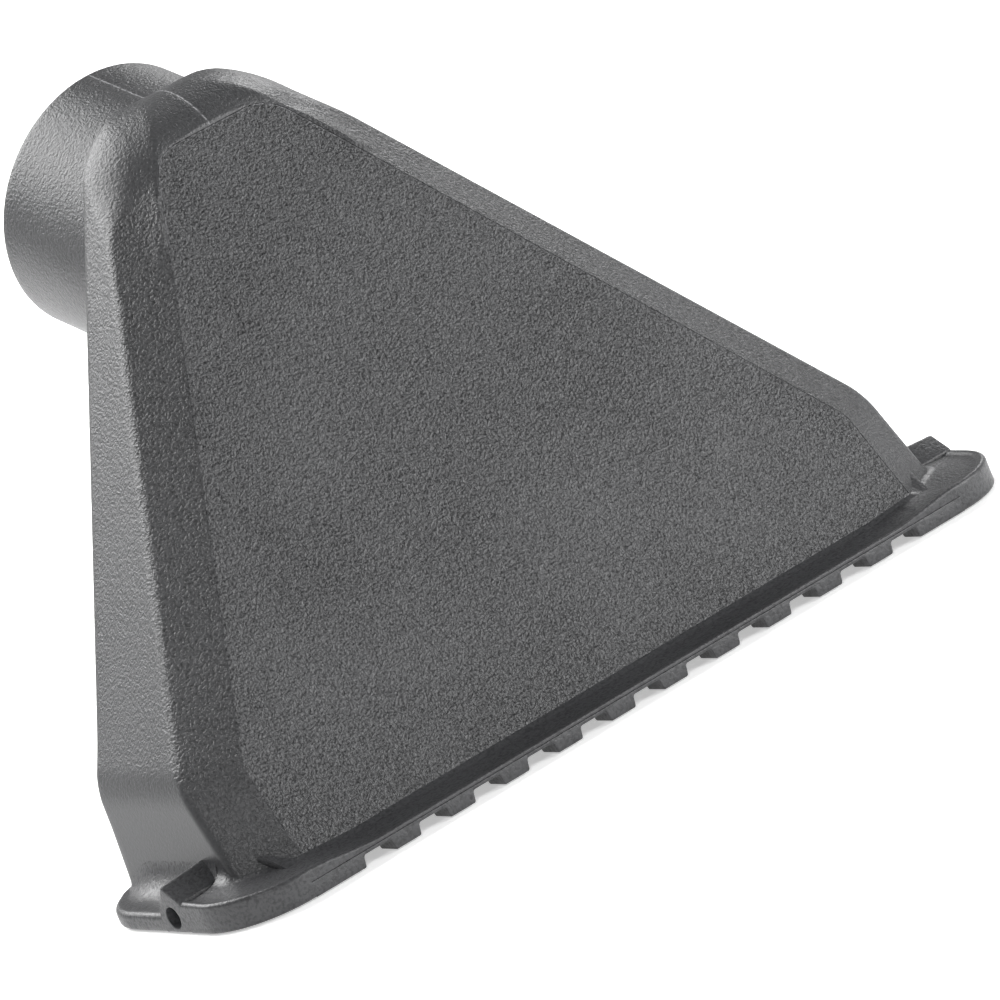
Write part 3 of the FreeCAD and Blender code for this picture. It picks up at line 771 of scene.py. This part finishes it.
def sleeve_points():
    """The liner's section turned round the spigot's axis: in from the rim by the first number
    and out from the axis by the second."""
    turn = np.linspace(0.0, 2 * np.pi, 161)[:-1, None]
    side = np.array([1.0, 0.0, 0.0])
    ray = np.cos(turn) * side + np.sin(turn) * np.cross(SPIGOT_AXIS, side)
    return RIM_CENTRE - SLEEVE_SECTION[:, :1, None] * SPIGOT_AXIS + SLEEVE_SECTION[:, 1:, None] * ray


sleeve_plastic = moulded_plastic(
    "sleeve_satin_plastic", (0.026, 0.026, 0.028), (0.050, 0.051, 0.054), 0.00005, 1500.0, 0.40
)
sleeve = sleeve_points()
sleeve_faces = grid_faces(*sleeve.shape[:2], closed=True)
place_piece("socket_liner", sleeve, sleeve_faces, "hose_sleeve", sleeve_plastic, smooth=35.0)


# ---- rocking insert's carrier and pins ------------------------------------------------
# Inside the mouth a plain black moulded carrier rocks on two turned plastic pins, one pushed
# in through the bore at each end. These are the frame's own nodes and only get their finish.
def finish_node(node, material):
    """Gives one of the frame's own nodes its material."""
    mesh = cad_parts[node].data
    mesh.materials.clear()
    mesh.materials.append(material)


carrier_plastic = moulded_plastic(
    "carrier_black_plastic", (0.016, 0.016, 0.017), (0.040, 0.040, 0.042), 0.00008, 1400.0, 0.45
)
pin_plastic = moulded_plastic(
    "pin_black_plastic", (0.012, 0.012, 0.013), (0.045, 0.045, 0.047), 0.00004, 1600.0, 0.35
)
finish_node("insert_frame", carrier_plastic)
finish_node("pivot_pin_left", pin_plastic)
finish_node("pivot_pin_right", pin_plastic)

# ---- rubber blade ---------------------------------------------------------------------
# A strip cut from sheet rubber, matt and nearly black. The clamp strip holds it to the
# carrier.
blade_rubber = moulded_plastic(
    "blade_rubber", (0.010, 0.010, 0.011), (0.026, 0.026, 0.027), 0.00005, 2200.0, 0.7
)
finish_node("squeegee_blade", blade_rubber)


# ---- clamp strip and screws -----------------------------------------------------------
# A thin stainless strip presses the blade to the carrier. Six small zinc-plated screws hold
# it, and four hold the mouth frame up to bosses in the casing.
def drawn_metal(name, low, high, stretch):
    """Plated or drawn metal: fine streaks along X in its gloss and tone."""
    finish = Finish(bpy.data.materials.new(name))
    place = finish.add("ShaderNodeTexCoord", out=3)
    stretched = finish.add("ShaderNodeVectorMath", {"operation": "MULTIPLY"}, (place, (stretch, 1.0, 1.0)))
    streak = finish.noise(stretched, 2600.0, Detail=3.0)
    colour = finish.blend(streak, (*low, 1.0), (*high, 1.0))
    bump = finish.add("ShaderNodeBump", Strength=0.15, Distance=0.00005, Height=streak)
    finish.end_with(Base_Color=colour, Metallic=1.0, Roughness=streak * 0.25 + 0.22, Normal=bump)
    return finish.owner


stainless = drawn_metal("clamp_stainless", (0.42, 0.42, 0.43), (0.62, 0.62, 0.63), 0.05)
zinc = drawn_metal("screw_zinc", (0.38, 0.38, 0.40), (0.60, 0.60, 0.62), 0.8)
finish_node("blade_clamp", stainless)
finish_node("clamp_screws", zinc)
finish_node("frame_screws", zinc)

# ---- floor and surround ---------------------------------------------------------------
# A wide pale floor that glows a little, and a surround that is white at the horizon and dark
# overhead.
FLOOR_REACH = 14.0
FLOOR_DROP = 0.0004
FLOOR_GLOW = 0.45
SURROUND_LIGHT = 0.8

floor_mesh = bpy.data.meshes.new("floor")
corners = FLOOR_REACH * np.array([(-1, -1, 0), (1, -1, 0), (1, 1, 0), (-1, 1, 0)])
floor_mesh.from_pydata(corners.tolist(), [], [(0, 1, 2, 3)])
floor = bpy.data.objects.new("floor", floor_mesh)
floor.location = (0.0, 0.0, -FLOOR_DROP)
bpy.context.collection.objects.link(floor)
floor_finish = Finish(bpy.data.materials.new("floor_white"))
mottle = floor_finish.add("ShaderNodeTexNoise", Scale=3.0, Detail=1.0)
floor_finish.end_with(
    Base_Color=(0.93, 0.93, 0.93, 1.0), Roughness=mottle * 0.05 + 0.85, Specular_IOR_Level=0.1,
    Emission_Color=(1.0, 1.0, 1.0, 1.0), Emission_Strength=FLOOR_GLOW,
)
floor_mesh.materials.append(floor_finish.owner)

world = bpy.data.worlds.new("surround")
bpy.context.scene.world = world
surround = Finish(world, "Background")
direction = surround.add("ShaderNodeTexCoord", out=0)
height = surround.add("ShaderNodeSeparateXYZ", {}, (direction,), out=2)
shade = surround.add("ShaderNodeValToRGB", {"stops": [(0.0, 1.0), (0.32, 0.10)]}, (height,))
surround.end_with(Color=shade, Strength=SURROUND_LIGHT)


# ---- lights ---------------------------------------------------------------------------
# A broad soft light low at the front right, a strong one behind at the left, a small one on
# the right rim and a weak one high at the front left.
LIT_MIDDLE = np.array([0.0, 0.0, 0.06])


def turned(right, up, back, place):
    """The matrix of an object at a place whose own axes point right, up and back."""
    matrix = Matrix([[right[k], up[k], back[k]] for k in range(3)]).to_4x4()
    matrix.translation = place
    return matrix


def level_axes(back):
    """The sideways and upward axes of something whose back faces this way, with sideways level."""
    right = np.cross([0.0, 0.0, 1.0], back)
    right = right / np.linalg.norm(right)
    return right, np.cross(back, right)


def soft_light(name, toward, distance, width, height, power):
    """A rectangular light at a distance in a direction from the object, facing its middle."""
    lamp = bpy.data.lights.new(name, "AREA")
    lamp.shape = "RECTANGLE"
    lamp.size = width
    lamp.size_y = height
    lamp.energy = power
    holder = bpy.data.objects.new(name, lamp)
    back = np.array(toward) / np.linalg.norm(toward)
    holder.matrix_world = turned(*level_axes(back), back, LIT_MIDDLE + back * distance)
    bpy.context.collection.objects.link(holder)


soft_light("front_right", (0.70, -0.66, 0.28), 1.3, 0.9, 0.7, 14.0)
soft_light("behind_left", (-0.26, 0.66, 0.70), 1.3, 1.1, 1.0, 29.0)
soft_light("right_rim", (0.76, 0.46, 0.46), 1.4, 0.5, 0.5, 5.0)
soft_light("front_left", (-0.48, -0.66, 0.56), 1.8, 0.30, 0.25, 7.0)

# ---- camera ---------------------------------------------------------------------------
# A long lens looks down a little from the front left, rolled so that the lip climbs to the
# right.
CAMERA_AIM = np.array([-18.1073, -2.6469 + LIP_Y, 57.2639]) * MM
CAMERA_AWAY = 1.7
CAMERA_TURN = np.radians(-120.78773)
CAMERA_RISE = np.radians(12.61270)
CAMERA_ROLL = np.radians(22.36885)
CAMERA_LENS = 280.1597

camera_data = bpy.data.cameras.new("camera")
camera_data.lens = CAMERA_LENS
camera_data.sensor_width = 36.0
camera_data.clip_end = 100.0
camera = bpy.data.objects.new("camera", camera_data)
sight = np.array([np.cos(CAMERA_RISE) * np.cos(CAMERA_TURN), np.cos(CAMERA_RISE) * np.sin(CAMERA_TURN),
                  np.sin(CAMERA_RISE)])
level, upright = level_axes(sight)
right = level * np.cos(CAMERA_ROLL) - upright * np.sin(CAMERA_ROLL)
up = upright * np.cos(CAMERA_ROLL) + level * np.sin(CAMERA_ROLL)
camera.matrix_world = turned(right, up, sight, CAMERA_AIM + sight * CAMERA_AWAY)
bpy.context.collection.objects.link(camera)
bpy.context.scene.camera = camera
bpy.context.scene.view_settings.view_transform = "Standard"
